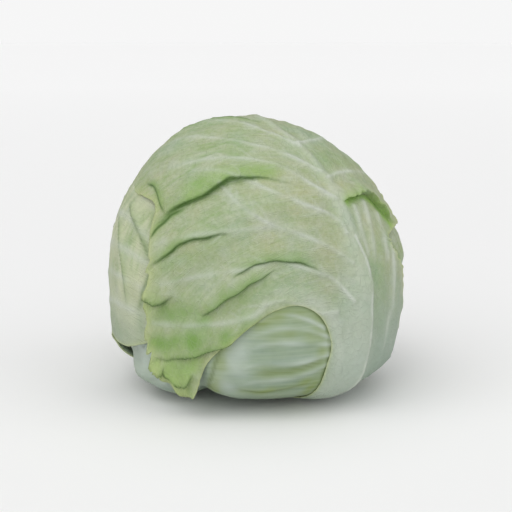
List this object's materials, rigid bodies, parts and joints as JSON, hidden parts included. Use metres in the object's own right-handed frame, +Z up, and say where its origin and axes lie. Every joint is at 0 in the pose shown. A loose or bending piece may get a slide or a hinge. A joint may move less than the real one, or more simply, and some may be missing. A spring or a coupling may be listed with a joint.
{
  "type": "cabbage",
  "caption": "Whole head of green cabbage on its cut stump: a dense inner head wrapped in broad, folded outer leaves with a thick pale midrib, resting on the stump.",
  "frame": {"origin": "middle of the stump's cut face, on the surface that the head rests on", "axes": "+Z up from the stump to the crown, -Y towards the front of the head, where the inner head shows beside the front leaf's stalk"},
  "size_m": [0.1791, 0.1849, 0.1631],
  "materials": {
    "outer_leaf": "matte pale green leaf with a waxy grey bloom, paler veins and darker green in the creases",
    "inner_leaf": "satin blue-white leaf with green streaks between its veins",
    "stump": "cut pale yellow-white pith with a green rind"
  },
  "bodies": {
    "root": {"stump": "stump", "inner_head": "inner_leaf", "leaf_back": "outer_leaf", "leaf_left": "outer_leaf", "leaf_right": "outer_leaf", "leaf_front": "outer_leaf"}
  },
  "joints": []
}
